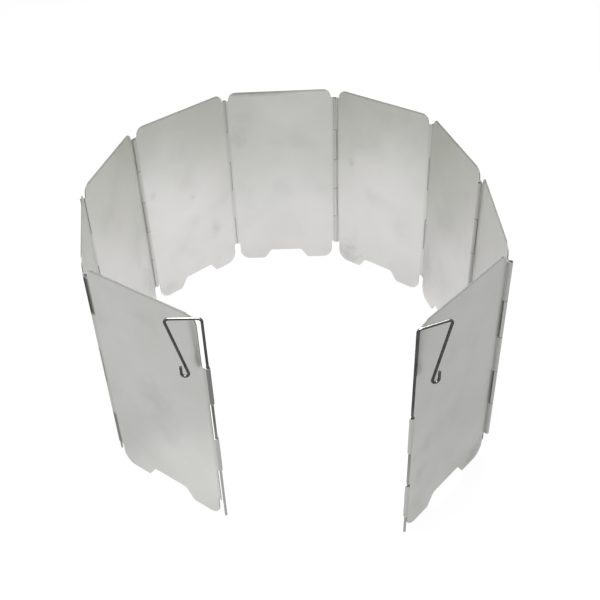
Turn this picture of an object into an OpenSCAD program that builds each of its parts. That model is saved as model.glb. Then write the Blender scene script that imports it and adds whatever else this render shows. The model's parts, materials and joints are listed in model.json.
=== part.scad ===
// Folding stove windscreen: nine sheet plates in a chain of rolled hinges, standing open as a ring,
// with a bent wire stake in the free edge at each end.
// Millimetres, +Z up. The origin is on the ground, in the middle of the ring's box. The gap faces -Y.

/* [Plates] */
// Distance from one hinge axis to the next, along a plate
plate_pitch = 83; // [70:0.5:110]
// Height of a plate from its feet to its top edge
plate_height = 150; // [110:1:240]
// Thickness of the sheet
sheet = 0.5; // [0.3:0.05:0.8]
// Distance from a hinge axis to a plate's side edge, above and below the hinge
edge_setback = 3.1; // [2.6:0.1:4.5]
// Radius of the two top corners
top_corner_r = 6; // [4:0.5:10]
// Radius of the two bottom corners
foot_corner_r = 8; // [3:0.5:10]

/* [Vent] */
// Height of the air vent between the feet
vent_height = 8; // [6:0.5:14]
// Width of the vent along its top
vent_top_w = 25; // [14:1:28]
// Width of the vent at the ground
vent_ground_w = 36; // [34:1:40]
// Radius of the vent's corners
vent_corner_r = 3; // [1:0.5:4]

/* [Hinges] */
// Diameter of the wire used for the hinge pins and the stakes
wire_d = 1.5; // [1:0.1:2.5]
// Radial clearance of the wire in a knuckle
wire_clearance = 0.05; // [0.02:0.01:0.1]
// Height of the lowest knuckle above the ground
hinge_bottom = 15; // [12:0.5:30]
// Distance from the top of a hinge up to the plate's top edge
hinge_drop = 6.5; // [6:0.5:12]
// Gap between a plate's edge and the round of the next plate's knuckles
slot_clearance = 0.1; // [0.1:0.05:0.8]
// Gap between one knuckle and the next
knuckle_gap = 0.3; // [0.2:0.1:1]
// Angle left open at the seam of a rolled knuckle
seam_angle = 60; // [55:5:120]
// Angle left open at the last plate's hinge, where its knuckles are rolled less
last_seam_angle = 110; // [55:5:120]
// Depth of a pin's ends below the ends of its hinge
pin_recess = 0.4; // [0.2:0.1:2]

/* [Stakes] */
// Height of a stake's tip above the ground
stake_lift = 1.5; // [0:0.5:4]
// Distance from the plate's top edge down to the middle of the stake's top bar
bar_drop = 0.4; // [0.2:0.1:4]
// Length of the top bar, stem to corner
bar_length = 19; // [16:0.5:26]
// Length of the clip's leg, from the bar's corner to the hook
leg_length = 36.5; // [28:0.5:50]
// Angle by which the leg leans back towards the stem
leg_lean = 14; // [8:1:18]
// Radius of the wire's two upper bends
bend_r = 2; // [1.5:0.1:3]
// Extra radius of the wire at a bend, where it thickens
bend_swell = 0.03; // [0.02:0.01:0.1]
// Radius of the hook's bend
hook_r = 1.9; // [1.2:0.1:2.5]
// Angle through which the hook turns
hook_angle = 195; // [150:5:210]
// Length of the straight end of the hook
hook_tail = 4.5; // [2:0.5:8]

/* [Standing pose] */
// Inward bend at each of the eight hinges, from plate 1 to plate 9
bend_angles = [43.8, 24, 34.7, 43, 39.3, 37.4, 14.1, 41.5]; // [10:0.1:45]
// Angle from plate 1's outer face to the left stake's clip
left_clip_angle = 34; // [34:1:90]
// Angle from plate 9's outer face to the right stake's clip
right_clip_angle = 25; // [5:1:90]

/* [Hidden] */

$fn = 48;
plate_count = 9;
middle_plate = (plate_count + 1) / 2;
knuckle_count = 5;
corner_count = 8;

// Knuckles, numbered from the top, that the two plates of a hinge take in turn
even_knuckles = [2, 4];
odd_knuckles = [1, 3, 5];
// The last plate's free edge has no top knuckle, so that its clip can swing
last_knuckles = [3, 5];
function left_knuckles(i) = i == 2 ? odd_knuckles : even_knuckles;
function right_knuckles(i) = i == 1 ? even_knuckles : i == plate_count ? last_knuckles : odd_knuckles;

bore_r = wire_d / 2 + wire_clearance;
knuckle_r = bore_r + sheet;
// From the middle of the sheet to the axis of a knuckle rolled from it
axis_offset = knuckle_r - sheet / 2;
// From a hinge axis to the sheet's edge, beside the next plate's knuckles
slot_depth = sqrt(pow(knuckle_r + slot_clearance, 2) - pow(bore_r, 2));

hinge_top = plate_height - hinge_drop;
knuckle_pitch = (hinge_top - hinge_bottom) / knuckle_count;
knuckle_length = knuckle_pitch - knuckle_gap;
// Length of a straight run that is buried in the thicker bend at its end
bend_overlap = sqrt(bend_swell * min(bend_r, hook_r));

aluminium = [0.76, 0.76, 0.74];
steel = [0.55, 0.55, 0.55];

// Standing pose: headings of the plates and places of the hinge axes in plan

function turned(v, angle) = [v.x * cos(angle) - v.y * sin(angle), v.x * sin(angle) + v.y * cos(angle)];

// Neighbouring hinges are rolled to opposite sides, so that the chain folds like a zigzag.
// An axis is on the outer side of its plates at 1 and on their inner side at -1.
// A free edge is rolled to the same side as its plate's hinge.
function axis_side(k) =
    k == 0 ? axis_side(1)
    : k == plate_count ? axis_side(plate_count - 1)
    : k % 2 == 0 ? 1 : -1;

function heading(i) =
    i == middle_plate ? 0
    : i < middle_plate ? heading(i + 1) + bend_angles[i - 1]
    : heading(i - 1) - bend_angles[i - 2];

function left_end(i) = turned([0, axis_side(i - 1) * axis_offset], heading(i));
function right_end(i) = turned([plate_pitch, axis_side(i) * axis_offset], heading(i));

function plate_place(i) =
    i == middle_plate ? [-plate_pitch / 2, 0]
    : i < middle_plate ? plate_place(i + 1) + left_end(i + 1) - right_end(i)
    : plate_place(i - 1) + right_end(i - 1) - left_end(i);

// Axis 0 is plate 1's free edge, 1 to 8 are the hinges and 9 is the last plate's free edge
axes = [for (k = [0 : plate_count]) k == 0 ? plate_place(1) + left_end(1) : plate_place(k) + right_end(k)];
axes_x = [for (a = axes) a.x];
axes_y = [for (a = axes) a.y];
ring_middle = [min(axes_x) + max(axes_x), min(axes_y) + max(axes_y)] / 2;

// Plate outline

function unit(v) = v / norm(v);

// Points of the arc that rounds the corner at p, between its neighbours, to the radius p[2]
function rounded_corner(before, p, after) =
    let (
        at = [p.x, p.y],
        back = unit([before.x, before.y] - at),
        ahead = unit([after.x, after.y] - at),
        half = acos(back * ahead) / 2,
        middle = at + unit(back + ahead) * p[2] / sin(half),
        first = at + back * p[2] / tan(half) - middle,
        sweep = sign(cross(ahead, back)) * (180 - 2 * half)
    )
    [for (k = [0 : corner_count]) middle + turned(first, sweep * k / corner_count)];

function rounded(points) =
    let (n = len(points))
    [for (k = [0 : n - 1]) each rounded_corner(points[(k + n - 1) % n], points[k], points[(k + 1) % n])];

function knuckle_z(k) = hinge_top - k * knuckle_pitch + knuckle_gap / 2;

module panel_outline() {
    left = edge_setback;
    right = plate_pitch - edge_setback;
    mid = plate_pitch / 2;
    polygon(rounded([
        [left, 0, foot_corner_r],
        [mid - vent_ground_w / 2, 0, vent_corner_r],
        [mid - vent_top_w / 2, vent_height, vent_corner_r],
        [mid + vent_top_w / 2, vent_height, vent_corner_r],
        [mid + vent_ground_w / 2, 0, vent_corner_r],
        [right, 0, foot_corner_r],
        [right, plate_height, top_corner_r],
        [left, plate_height, top_corner_r],
    ]));
}

// Left hinge edge of a plate: a strip beside the hinge, and tabs out to the axis, where knuckles begin.
// The strip of a free edge stops below the top knuckle's place.
module hinge_edge(knuckles, free) {
    inside = 2 * edge_setback;
    rows = free ? knuckle_count - 1 : knuckle_count;
    translate([slot_depth, hinge_bottom])
        square([inside - slot_depth, rows * knuckle_pitch]);
    for (k = knuckles)
        translate([0, knuckle_z(k)])
            square([inside, knuckle_length]);
}

// Section of a knuckle, with the sheet coming from -X on the +Y side of the axis at the origin
module knuckle_section(seam) {
    reach = 2 * knuckle_r;
    difference() {
        circle(r = knuckle_r);
        circle(r = bore_r);
        polygon([
            [0, 0],
            [0, reach],
            [-reach, reach],
            [-reach * sin(seam), reach * cos(seam)],
        ]);
    }
}

// Knuckles of a right edge, on the outer side of the sheet at 1 and on its inner side at -1
module edge_knuckles(list, out, seam) {
    translate([0, out * axis_offset, 0])
        mirror([0, out > 0 ? 1 : 0, 0])
            for (k = list)
                translate([0, 0, knuckle_z(k)])
                    linear_extrude(knuckle_length)
                        knuckle_section(seam);
}

// A plate in its own frame: X from its left hinge axis to its right one, +Y outwards, Z up
module plate(i) {
    left_seam = i == plate_count ? last_seam_angle : seam_angle;
    color(aluminium)
        in_ring(plate_place(i), heading(i)) {
            rotate([90, 0, 0])
                linear_extrude(sheet, center = true) {
                    panel_outline();
                    hinge_edge(left_knuckles(i), i == 1);
                    translate([plate_pitch, 0])
                        mirror([1, 0])
                            hinge_edge(right_knuckles(i), i == plate_count);
                }
            mirror([1, 0, 0])
                edge_knuckles(left_knuckles(i), axis_side(i - 1), left_seam);
            translate([plate_pitch, 0, 0])
                edge_knuckles(right_knuckles(i), axis_side(i), seam_angle);
        }
}

// Puts a piece at a point of the plan, turned to a heading
module in_ring(place, angle) {
    translate([place.x - ring_middle.x, place.y - ring_middle.y, 0])
        rotate([0, 0, angle])
            children();
}

module hinge_pin(k) {
    color(steel)
        in_ring(axes[k], 0)
            translate([0, 0, hinge_bottom + pin_recess])
                cylinder(h = hinge_top - hinge_bottom - 2 * pin_recess, d = wire_d);
}

// A wire along +Z that bends towards +X, or -X where a turn is negative. A run is [length, turn, radius].
module bent_wire(runs, k = 0) {
    length = runs[k][0];
    turn = runs[k][1];
    radius = runs[k][2];
    low = k == 0 ? 0 : -bend_overlap;
    high = turn == 0 ? length : length + bend_overlap;
    translate([0, 0, low])
        cylinder(h = high - low, d = wire_d);
    if (turn != 0)
        translate([0, 0, length]) {
            rotate([0, 0, turn > 0 ? 0 : 180])
                translate([radius, 0, 0])
                    rotate([90, 0, 180])
                        rotate_extrude(angle = abs(turn))
                            translate([radius, 0])
                                circle(r = wire_d / 2 + bend_swell);
            translate([sign(turn) * radius * (1 - cos(turn)), 0, radius * sin(abs(turn))])
                rotate([0, turn, 0])
                    bent_wire(runs, k + 1);
        }
}

// A stake with its stem on the Z axis and its clip towards +X
module stake() {
    corner_turn = 90 + leg_lean;
    corner_run = bend_r * tan(corner_turn / 2);
    stem_length = plate_height - bar_drop - bend_r - stake_lift;
    color(steel)
        translate([0, 0, stake_lift])
            bent_wire([
                [stem_length, 90, bend_r],
                [bar_length - bend_r - corner_run, corner_turn, bend_r],
                [leg_length - corner_run, -hook_angle, hook_r],
                [hook_tail, 0, 0],
            ]);
}

module left_stake() {
    in_ring(axes[0], heading(1) + left_clip_angle)
        stake();
}

module right_stake() {
    in_ring(axes[plate_count], heading(plate_count) + 180 - right_clip_angle)
        stake();
}

for (i = [1 : plate_count])
    plate(i);
for (k = [1 : plate_count - 1])
    hinge_pin(k);
left_stake();
right_stake();
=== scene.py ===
"""Looks of the folding stove windscreen: satin sheet plates, steel pins and stakes, on a white studio floor.

Lengths are metres, in the part's own frame: +Z up, the ring's gap towards -Y. Colours are linear RGBA.
"""

import json
import math

import bpy
from mathutils import Matrix, Vector

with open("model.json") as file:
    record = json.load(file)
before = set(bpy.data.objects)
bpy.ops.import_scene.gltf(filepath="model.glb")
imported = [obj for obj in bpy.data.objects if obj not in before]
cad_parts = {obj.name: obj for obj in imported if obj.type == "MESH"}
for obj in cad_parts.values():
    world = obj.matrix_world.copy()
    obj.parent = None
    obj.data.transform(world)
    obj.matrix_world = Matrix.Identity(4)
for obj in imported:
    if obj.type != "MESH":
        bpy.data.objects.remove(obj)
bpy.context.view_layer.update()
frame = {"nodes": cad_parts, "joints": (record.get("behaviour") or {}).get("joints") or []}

MM = 0.001
WHITE = (1, 1, 1, 1)

# The part's own counts and sizes, as its source has them
PLATE_COUNT = 9
PIN_COUNT = 8
SHEET = 0.5 * MM
PITCH = 83 * MM
PLATE_HIGH = 150 * MM
HINGE_LOW, HINGE_HIGH = 15 * MM, 143.5 * MM
KNUCKLE = 25.4 * MM


# Node trees


def add(tree, kind, inputs=None, **settings):
    """A node with its settings and inputs. An input is a value, or the socket that feeds it."""
    made = tree.nodes.new(kind)
    for name, value in settings.items():
        setattr(made, name, value)
    for name, value in (inputs or {}).items():
        if isinstance(value, bpy.types.NodeSocket):
            tree.links.new(value, made.inputs[name])
        else:
            made.inputs[name].default_value = value
    return made


def math_node(tree, operation, *values):
    return add(tree, "ShaderNodeMath", dict(enumerate(values)), operation=operation).outputs[0]


def vector_math(tree, operation, *values):
    return add(tree, "ShaderNodeVectorMath", dict(enumerate(values)), operation=operation).outputs


def ramp(tree, value, low, high, to_low=0.0, to_high=1.0):
    """The value, eased from to_low at low to to_high at high."""
    made = add(
        tree,
        "ShaderNodeMapRange",
        {"Value": value, "From Min": low, "From Max": high, "To Min": to_low, "To Max": to_high},
        interpolation_type="SMOOTHSTEP",
    )
    return made.outputs[0]


def noise(tree, vector, scale, detail=2.0, roughness=0.5, distortion=0.0):
    made = add(
        tree,
        "ShaderNodeTexNoise",
        {"Vector": vector, "Scale": scale, "Detail": detail, "Roughness": roughness, "Distortion": distortion},
    )
    return made.outputs["Fac"]


def stretched_noise(tree, vector, scales):
    """Noise with its own scale along each axis."""
    return noise(tree, vector_math(tree, "MULTIPLY", vector, scales)[0], 1.0)


def mixed(tree, factor, a, b):
    """Colour a, going over to colour b."""
    made = add(tree, "ShaderNodeMix", data_type="RGBA")
    for socket, value in (("Factor_Float", factor), ("A_Color", a), ("B_Color", b)):
        target = next(s for s in made.inputs if s.identifier == socket)
        if isinstance(value, bpy.types.NodeSocket):
            tree.links.new(value, target)
        else:
            target.default_value = value
    return next(s for s in made.outputs if s.identifier == "Result_Color")


def split(tree, vector):
    """The X, Y and Z of a vector."""
    return add(tree, "ShaderNodeSeparateXYZ", {0: vector}).outputs


def end_face(tree, upward):
    """1 on faces that look straight up or down, such as the ends of a pin, and 0 elsewhere."""
    return ramp(tree, math_node(tree, "ABSOLUTE", upward), 0.7, 0.95)


def new_material(name):
    material = bpy.data.materials.new(name)
    material.use_nodes = True
    tree = material.node_tree
    return material, tree, tree.nodes["Principled BSDF"]


def new_metal(name):
    material, tree, shader = new_material(name)
    shader.inputs["Metallic"].default_value = 1.0
    return material, tree, shader


def bumped(tree, shader, height, strength, depth):
    bump = add(tree, "ShaderNodeBump", {"Height": height, "Strength": strength, "Distance": depth})
    tree.links.new(bump.outputs[0], shader.inputs["Normal"])


def dress(node, material):
    mesh = frame["nodes"][node].data
    mesh.materials.clear()
    mesh.materials.append(material)


# Satin aluminium sheet

CLEAN = (0.916, 0.918, 0.890, 1)
CLOUDED = (0.862, 0.868, 0.832, 1)
SMUDGE = (0.746, 0.746, 0.719, 1)
# Painted shade for the curls
CURL_SHADE = (0.60, 0.60, 0.59, 1)
GRIME = (0.40, 0.40, 0.38, 1)
# Painted shade, laid on some knuckles
KNUCKLE_SHADE = (0.07, 0.07, 0.075, 1)
CUT_EDGE = (0.15, 0.15, 0.147, 1)
HINGE_EDGE = (0.50, 0.50, 0.49, 1)

# How much of each colour covers what is under it
SMUDGE_AMOUNT = 0.5
SCUFF_AMOUNT = 0.2
HINGE_GRIME = 0.20
CURL_SHADE_AMOUNT = 0.22
TOP_BAND_DARKENING = 0.4

# Grime beside a hinge fades between these distances from its axis
HINGE_GRIME_FADE = (1.4 * MM, 3.4 * MM)
# Width of the darker band along a plate's top
RIM = 1.2 * MM

# Noise scales per metre, or per metre along, across and up a plate
CLOUD_SCALE = 22
SMUDGE_SCALE = 40
RAG_SCALE = 160
WAVE_SCALE = 16
GRAIN_SCALES = (30, 30, 700)
SCUFF_SCALES = (30, 30, 260)
# How far apart two neighbouring plates' patterns lie in the noise
PATTERN_STEP = 1.7

SATIN = 0.275
GRAIN_ROUGHNESS = 0.05
SMUDGE_ROUGHNESS = 0.04
CUT_ROUGHNESS = 0.15

SHEET_BUMP = 0.5
SHEET_BUMP_DEPTH = 1.0 * MM
GRAIN_HEIGHT = 0.002
WAVE_HEIGHT = 0.2

# Painted light and shade: how bright each plate's outer and inner face is drawn beside the cleanest one, for
# the light that each face reflects
OUTER_PAINTED_LIGHT = {1: 0.965, 9: 0.925}
OUTER_PAINTED_LIGHT_ELSEWHERE = 1.0
INNER_PAINTED_LIGHT = {2: 0.79, 3: 0.90, 4: 0.955, 7: 0.82, 8: 0.785}
INNER_PAINTED_LIGHT_ELSEWHERE = 0.91
# A normal with more than this outward is on the outer face, and with less than minus this on the inner one
FACE_TURN = 0.3

# The stains of these plates are on their outer faces, the others' on their inner ones
STAINED_OUTSIDE = (1, 9)
# Plate: middle of a stain along and up the plate and its two radii, in mm, and how dark it is
STAINS = {
    1: (((44, 76), (14, 18), 0.14),),
    2: (((72, 102), (12, 24), 0.36),),
    3: (((73, 26), (14, 32), 0.22),),
    4: (
        ((63, 40), (7, 11), 0.22),
        ((44, 77), (4, 4), 0.20),
        ((9, 93), (4, 5), 0.20),
        ((9, 5), (14, 9), 0.25),
    ),
    5: (((22, 150), (44, 4), 0.80), ((9, 112), (10, 16), 0.20)),
    6: (((15, 93), (4, 5), 0.28), ((11, 8), (16, 14), 0.38)),
    7: (((35, 82), (16, 13), 0.12), ((9, 34), (12, 24), 0.20)),
    9: (((11, 8), (15, 13), 0.42), ((66, 58), (7, 11), 0.18), ((70, 38), (9, 10), 0.18)),
}
# How ragged a stain is for each mm of its smaller radius, and at most
RAG_PER_MM = 0.15
MOST_RAG = 2.0

# Painted shade standing in for the shaded seams at some knuckles. Plate: edge, height of a shaded knuckle's
# middle, how far in the painted shade reaches, and how dark it is
SHADED_KNUCKLES = {
    1: (
        ("right", 130.7 * MM, 3.0 * MM, 0.85),
        ("right", 27.9 * MM, 2.2 * MM, 0.75),
        ("left", 105.0 * MM, 0.2 * MM, 0.65),
        ("left", 53.6 * MM, 0.2 * MM, 0.16),
    ),
    2: (
        ("left", 130.7 * MM, 1.0 * MM, 0.95),
        ("left", 79.2 * MM, 1.0 * MM, 0.40),
        ("left", 27.9 * MM, 1.0 * MM, 0.55),
    ),
}


def axis_at(k):
    """Where axis k stands: 0 and 9 are the free edges, 1 to 8 the hinges."""
    names = {0: "left_stake_swing", PLATE_COUNT: "right_stake_swing"}
    name = names.get(k, f"hinge_{k}")
    return Vector(next(j["pos_m"] for j in frame["joints"] if j["name"] == name))


def plate_frame(i):
    """Heading of plate i in the ring, and the point of its middle plane beside its left axis."""
    mesh = frame["nodes"][f"plate_{i}"].data
    widest = max(mesh.polygons, key=lambda face: face.area)
    outward = widest.normal.copy()
    if outward.dot(widest.center) < 0:
        outward.negate()
    middle = widest.center - widest.normal * SHEET / 2
    axis = axis_at(i - 1)
    return math.atan2(-outward.x, outward.y), axis + outward * outward.dot(middle - axis)


def stain(tree, local, rag, middle, radii, amount):
    """An oval stain on a plate, faded and ragged towards its rim."""
    along, up = middle
    wide, high = radii
    from_middle = vector_math(tree, "SUBTRACT", local, (along * MM, 0, up * MM))[0]
    spread = vector_math(tree, "DIVIDE", from_middle, (wide * MM, 1, high * MM))[0]
    distance = vector_math(tree, "LENGTH", spread)["Value"]
    unrest = min(MOST_RAG, RAG_PER_MM * min(radii))
    ragged = math_node(tree, "MULTIPLY_ADD", rag, unrest, math_node(tree, "SUBTRACT", distance, unrest / 2))
    return ramp(tree, ragged, -0.2, 1.1, amount, 0)


def sheet_material(i):
    """Rolled sheet: cloudy oxide, smudges, stains, a grain along the plate, dark cut edges and a darker band
    along the top, with painted shade on the curls and on some knuckles, and painted light and shade in each
    face's brightness.
    """
    material, tree, shader = new_metal(f"aluminium_sheet_{i}")
    heading, place = plate_frame(i)
    home = Matrix.Rotation(-heading, 3, "Z") @ place
    coords = add(tree, "ShaderNodeTexCoord").outputs

    def turned(vector, shift):
        inputs = {"Vector": vector, "Rotation": (0, 0, -heading), "Location": shift}
        return add(tree, "ShaderNodeMapping", inputs).outputs[0]

    local = turned(coords["Object"], -home)
    pattern = turned(coords["Object"], -home + Vector((0, PATTERN_STEP * i, 0)))
    normal = turned(coords["Normal"], (0, 0, 0))

    # A flat face lies half a sheet off the middle plane, and a curl reaches further off
    along, across, up = split(tree, local)
    _, outward, upward = split(tree, normal)
    off_plane = math_node(tree, "ABSOLUTE", across)
    rolled = ramp(tree, off_plane, 0.7 * SHEET, 1.2 * SHEET)
    in_plane = ramp(tree, off_plane, 0.55 * SHEET, 0.65 * SHEET, 1, 0)
    edge_on = ramp(tree, math_node(tree, "ABSOLUTE", outward), 0.3, 0.6, 1, 0)
    cut = math_node(tree, "MULTIPLY", edge_on, in_plane)
    curl_end = math_node(tree, "MULTIPLY", end_face(tree, upward), rolled)

    from_right = math_node(tree, "SUBTRACT", PITCH, along)
    from_axis = math_node(tree, "MINIMUM", along, from_right)
    above_low = ramp(tree, up, HINGE_LOW, HINGE_LOW + MM)
    below_high = ramp(tree, up, HINGE_HIGH - MM, HINGE_HIGH, 1, 0)
    hinge_height = math_node(tree, "MULTIPLY", above_low, below_high)
    beside_hinge = math_node(tree, "MULTIPLY", ramp(tree, from_axis, *HINGE_GRIME_FADE, 1, 0), hinge_height)
    rim = ramp(tree, up, PLATE_HIGH - 1.4 * RIM, PLATE_HIGH - 0.6 * RIM, 0, TOP_BAND_DARKENING)

    cloud = ramp(tree, noise(tree, pattern, CLOUD_SCALE, detail=4, distortion=0.2), 0.3, 0.7)
    smudge = ramp(tree, noise(tree, pattern, SMUDGE_SCALE, roughness=0.4), 0.48, 0.85, 0, SMUDGE_AMOUNT)
    scuff = ramp(tree, stretched_noise(tree, pattern, SCUFF_SCALES), 0.62, 0.80, 0, SCUFF_AMOUNT)
    grain = stretched_noise(tree, pattern, GRAIN_SCALES)
    rag = noise(tree, pattern, RAG_SCALE, detail=3)
    waves = noise(tree, pattern, WAVE_SCALE, detail=1)

    colour = mixed(tree, cloud, CLEAN, CLOUDED)
    colour = mixed(tree, smudge, colour, SMUDGE)
    colour = mixed(tree, scuff, colour, SMUDGE)
    inside, outside = (0, 1) if i in STAINED_OUTSIDE else (1, 0)
    stained_face = ramp(tree, outward, -FACE_TURN, FACE_TURN, inside, outside)
    for middle, radii, amount in STAINS.get(i, ()):
        spot = stain(tree, local, rag, middle, radii, amount)
        colour = mixed(tree, math_node(tree, "MULTIPLY", spot, stained_face), colour, GRIME)
    colour = mixed(tree, math_node(tree, "MULTIPLY", beside_hinge, HINGE_GRIME), colour, GRIME)
    # Painted shade: curls drawn darker than the flat sheet
    colour = mixed(tree, math_node(tree, "MULTIPLY", rolled, CURL_SHADE_AMOUNT), colour, CURL_SHADE)
    # Darker along the plate's top
    colour = mixed(tree, rim, colour, GRIME)
    colour = mixed(tree, cut, colour, mixed(tree, beside_hinge, CUT_EDGE, HINGE_EDGE))
    colour = mixed(tree, curl_end, colour, CUT_EDGE)
    # Painted shade on the listed knuckles, standing in for their shaded seams
    for side, middle, reach, amount in SHADED_KNUCKLES.get(i, ()):
        from_middle = math_node(tree, "ABSOLUTE", math_node(tree, "SUBTRACT", up, middle))
        on_knuckle = ramp(tree, from_middle, 0.45 * KNUCKLE, 0.55 * KNUCKLE, amount, 0)
        from_edge = along if side == "left" else from_right
        at_edge = ramp(tree, from_edge, 0.6 * reach, 1.4 * reach, 1, 0)
        colour = mixed(tree, math_node(tree, "MULTIPLY", on_knuckle, at_edge), colour, KNUCKLE_SHADE)
    # Painted light and shade: each face's colour scaled by the brightness listed for it
    inner_light = INNER_PAINTED_LIGHT.get(i, INNER_PAINTED_LIGHT_ELSEWHERE)
    outer_light = OUTER_PAINTED_LIGHT.get(i, OUTER_PAINTED_LIGHT_ELSEWHERE)
    painted_light = ramp(tree, outward, -FACE_TURN, FACE_TURN, inner_light, outer_light)
    lit_colour = add(tree, "ShaderNodeVectorMath", {0: colour, "Scale": painted_light}, operation="SCALE").outputs[0]
    tree.links.new(lit_colour, shader.inputs["Base Color"])

    roughness = math_node(tree, "MULTIPLY_ADD", grain, GRAIN_ROUGHNESS, SATIN)
    roughness = math_node(tree, "MULTIPLY_ADD", smudge, SMUDGE_ROUGHNESS, roughness)
    roughness = math_node(tree, "MULTIPLY_ADD", cut, CUT_ROUGHNESS, roughness)
    tree.links.new(roughness, shader.inputs["Roughness"])

    wave_height = math_node(tree, "MULTIPLY", waves, WAVE_HEIGHT)
    height = math_node(tree, "MULTIPLY_ADD", grain, GRAIN_HEIGHT, wave_height)
    bumped(tree, shader, height, SHEET_BUMP, SHEET_BUMP_DEPTH)
    return material


# Steel wire

PIN_DARK, PIN_BRIGHT = (0.48, 0.48, 0.47, 1), (0.62, 0.62, 0.61, 1)
PIN_ROUGHNESS = 0.30
STAKE_DARK, STAKE_BRIGHT = (0.07, 0.07, 0.07, 1), (0.15, 0.15, 0.148, 1)
STAKE_ROUGHNESS = 0.14
WIRE_END = (0.06, 0.06, 0.06, 1)

# Painted reflection and highlight: a stake is drawn lighter below the first height, for the white floor that
# it reflects, and dark above the second, and lighter where it faces up, a painted highlight
FLOOR_GLEAM = (0.55, 0.55, 0.54, 1)
GLEAM_BELOW, DARK_ABOVE = 25 * MM, 112 * MM
TOP_HIGHLIGHT = (0.19, 0.19, 0.187, 1)

# Noise scales per metre
STREAK_SCALES = (3000, 3000, 120)
SPECK_SCALE = 700
SPECK_AMOUNT = 0.5

STREAK_ROUGHNESS = 0.12
WIRE_BUMP = 0.15
WIRE_BUMP_DEPTH = 0.02 * MM


def wire_material(name, dark, bright, roughness, painted_gleams=False, dark_ends=False):
    """Drawn wire: streaks along its length and duller specks."""
    material, tree, shader = new_metal(name)
    coords = add(tree, "ShaderNodeTexCoord").outputs
    place = coords["Object"]
    streaks = stretched_noise(tree, place, STREAK_SCALES)
    specks = ramp(tree, noise(tree, place, SPECK_SCALE, detail=3), 0.58, 0.72)
    colour = mixed(tree, ramp(tree, streaks, 0.35, 0.65), dark, bright)
    colour = mixed(tree, math_node(tree, "MULTIPLY", specks, SPECK_AMOUNT), colour, dark)
    upward = split(tree, coords["Normal"])[2]
    if painted_gleams:
        # Painted reflection of the floor low on the stake, and a painted highlight where it faces up
        up = split(tree, place)[2]
        colour = mixed(tree, ramp(tree, up, GLEAM_BELOW, DARK_ABOVE), FLOOR_GLEAM, colour)
        colour = mixed(tree, ramp(tree, upward, 0.35, 0.75), colour, TOP_HIGHLIGHT)
    if dark_ends:
        colour = mixed(tree, end_face(tree, upward), colour, WIRE_END)
    tree.links.new(colour, shader.inputs["Base Color"])
    streaked = math_node(tree, "MULTIPLY_ADD", streaks, STREAK_ROUGHNESS, roughness)
    tree.links.new(streaked, shader.inputs["Roughness"])
    bumped(tree, shader, streaks, WIRE_BUMP, WIRE_BUMP_DEPTH)
    return material


def dress_all():
    for i in range(1, PLATE_COUNT + 1):
        dress(f"plate_{i}", sheet_material(i))
    pin_steel = wire_material("pin_steel", PIN_DARK, PIN_BRIGHT, PIN_ROUGHNESS, dark_ends=True)
    for k in range(1, PIN_COUNT + 1):
        dress(f"hinge_pin_{k}", pin_steel)
    stake_steel = wire_material("stake_steel", STAKE_DARK, STAKE_BRIGHT, STAKE_ROUGHNESS, painted_gleams=True)
    for node in ("left_stake", "right_stake"):
        dress(node, stake_steel)


# Studio

FLOOR_SIZE = 8.0
FLOOR_DROP = 0.05 * MM
FLOOR_GREY = (0.45, 0.45, 0.45, 1)
FLOOR_TINT = (1.0, 0.98, 1.005, 1)
# How much of the floor's white is its own glow, seen straight and seen in metal
GLOW_STRAIGHT = 0.92
GLOW_IN_METAL = 0.88
# The light on the floor, as metal shows it, grows towards the back between these Y, and fades to both sides
POOL_EDGE = (-0.03, 0.06)
POOL_FRONT, POOL_BACK = 0.51, 0.74
# Between two X, the share of the light at each
POOL_RIGHT = (0.07, 0.20, 1.0, 0.77)
POOL_LEFT = (-0.13, -0.04, 0.90, 1.0)
# Bright spots in that light: place, how far the full light and the last of it reach, and its strength
LIGHT_SPOTS = (
    ((-0.075, -0.115, 0), 0.02, 0.055, 0.18),
    ((-0.132, 0.048, 0), 0.02, 0.075, 0.26),
    ((0.148, 0.056, 0), 0.02, 0.075, 0.26),
)

HORIZON = (0.82, 0.82, 0.82, 1)
SKY_FRONT = (0.38, 0.39, 0.355, 1)
SKY_BACK = (0.63, 0.637, 0.617, 1)

# Name, place, the point that it shines at, size and watts
LAMPS = (
    ("overhead", (-0.05, 0.06, 1.0), (-0.05, 0.05, 0), (0.9, 1.2), 40),
    ("front_fill", (0.5, -1.1, 0.9), (0, 0, 0.05), (0.8, 0.6), 5),
)

# The camera, fitted to where the hinges are in the photograph
AZIMUTH, ELEVATION, ROLL = math.radians(4.65), math.radians(35.13), math.radians(-4.23)
TARGET = Vector((-28.07, 129.56, 0)) * MM
DISTANCE = 696.5 * MM
SENSOR_WIDTH = 36.0
LENS = 49.73
SHIFT_X, SHIFT_Y = 0.0736, -0.0608


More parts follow.
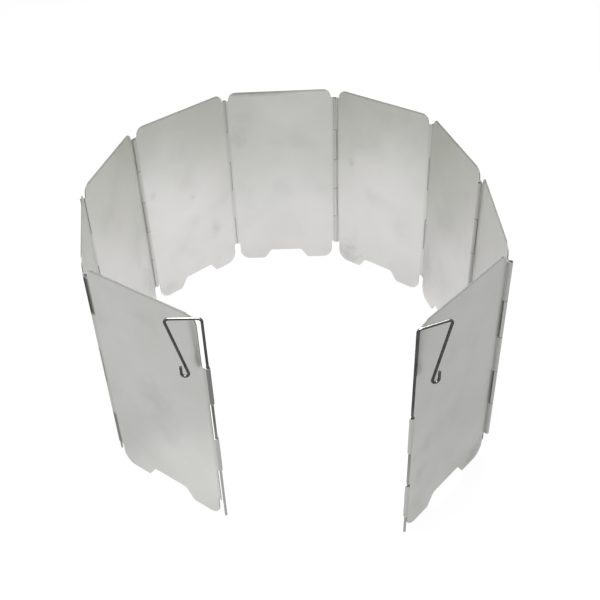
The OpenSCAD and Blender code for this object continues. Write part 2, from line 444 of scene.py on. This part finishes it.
def make_floor():
    mesh = bpy.data.meshes.new("floor")
    half = FLOOR_SIZE / 2
    corners = [(-half, -half, 0), (half, -half, 0), (half, half, 0), (-half, half, 0)]
    mesh.from_pydata(corners, [], [(0, 1, 2, 3)])
    floor = bpy.data.objects.new("floor", mesh)
    bpy.context.scene.collection.objects.link(floor)
    floor.location.z = -FLOOR_DROP
    material, tree, shader = new_material("floor_white")
    shader.inputs["Base Color"].default_value = FLOOR_GREY
    shader.inputs["Roughness"].default_value = 1.0
    shader.inputs["Specular IOR Level"].default_value = 0.0

    path = add(tree, "ShaderNodeLightPath").outputs
    straight = path["Is Camera Ray"]
    in_metal = math_node(tree, "MAXIMUM", path["Is Glossy Ray"], path["Is Transmission Ray"])
    point = add(tree, "ShaderNodeTexCoord").outputs["Object"]
    right, back, _ = split(tree, point)
    pool = ramp(tree, back, *POOL_EDGE, POOL_FRONT, POOL_BACK)
    for side in (POOL_RIGHT, POOL_LEFT):
        pool = math_node(tree, "MULTIPLY", pool, ramp(tree, right, *side))
    for spot, full, last, light in LIGHT_SPOTS:
        from_spot = vector_math(tree, "DISTANCE", point, spot)["Value"]
        pool = math_node(tree, "ADD", pool, ramp(tree, from_spot, full, last, light, 0.0))
    strength = math_node(tree, "MAXIMUM", straight, pool)
    tint = mixed(tree, ramp(tree, back, *POOL_EDGE), WHITE, FLOOR_TINT)
    tint = mixed(tree, straight, tint, WHITE)
    glow = add(tree, "ShaderNodeEmission", {"Color": tint, "Strength": strength})
    factor = math_node(
        tree,
        "MAXIMUM",
        math_node(tree, "MULTIPLY", straight, GLOW_STRAIGHT),
        math_node(tree, "MULTIPLY", in_metal, GLOW_IN_METAL),
    )
    both = add(tree, "ShaderNodeMixShader", {0: factor, 1: shader.outputs[0], 2: glow.outputs[0]})
    tree.links.new(both.outputs[0], tree.nodes["Material Output"].inputs["Surface"])
    mesh.materials.append(material)


def make_world():
    """A pale sky, dimmer in front, that the camera itself sees as white."""
    world = bpy.data.worlds.new("studio")
    bpy.context.scene.world = world
    world.use_nodes = True
    tree = world.node_tree
    _, back, rise = split(tree, add(tree, "ShaderNodeTexCoord").outputs["Generated"])
    high = mixed(tree, ramp(tree, back, -0.9, 0.1), SKY_FRONT, SKY_BACK)
    sky = mixed(tree, ramp(tree, rise, 0.05, 0.45), HORIZON, high)
    straight = add(tree, "ShaderNodeLightPath").outputs["Is Camera Ray"]
    background = tree.nodes["Background"]
    tree.links.new(mixed(tree, straight, sky, WHITE), background.inputs["Color"])
    background.inputs["Strength"].default_value = 1.0


def make_lamp(name, place, target, size, watts):
    light = bpy.data.lights.new(name, "AREA")
    light.shape = "RECTANGLE"
    light.size, light.size_y = size
    light.energy = watts
    lamp = bpy.data.objects.new(name, light)
    bpy.context.scene.collection.objects.link(lamp)
    lamp.location = place
    lamp.rotation_euler = (Vector(target) - Vector(place)).to_track_quat("-Z", "Y").to_euler()


def make_camera():
    back = Vector(
        (
            math.sin(AZIMUTH) * math.cos(ELEVATION),
            -math.cos(AZIMUTH) * math.cos(ELEVATION),
            math.sin(ELEVATION),
        )
    )
    level = Vector((math.cos(AZIMUTH), math.sin(AZIMUTH), 0))
    rise = back.cross(level)
    right = level * math.cos(ROLL) + rise * math.sin(ROLL)
    up = rise * math.cos(ROLL) - level * math.sin(ROLL)
    data = bpy.data.cameras.new("camera")
    data.sensor_width = SENSOR_WIDTH
    data.lens = LENS
    data.shift_x, data.shift_y = SHIFT_X, SHIFT_Y
    data.clip_start = 10 * MM
    camera = bpy.data.objects.new("camera", data)
    bpy.context.scene.collection.objects.link(camera)
    axes = Matrix((right, up, back)).transposed().to_4x4()
    camera.matrix_world = Matrix.Translation(TARGET + back * DISTANCE) @ axes
    bpy.context.scene.camera = camera


dress_all()
make_floor()
make_world()
for lamp in LAMPS:
    make_lamp(*lamp)
make_camera()
bpy.context.scene.view_settings.view_transform = "Standard"
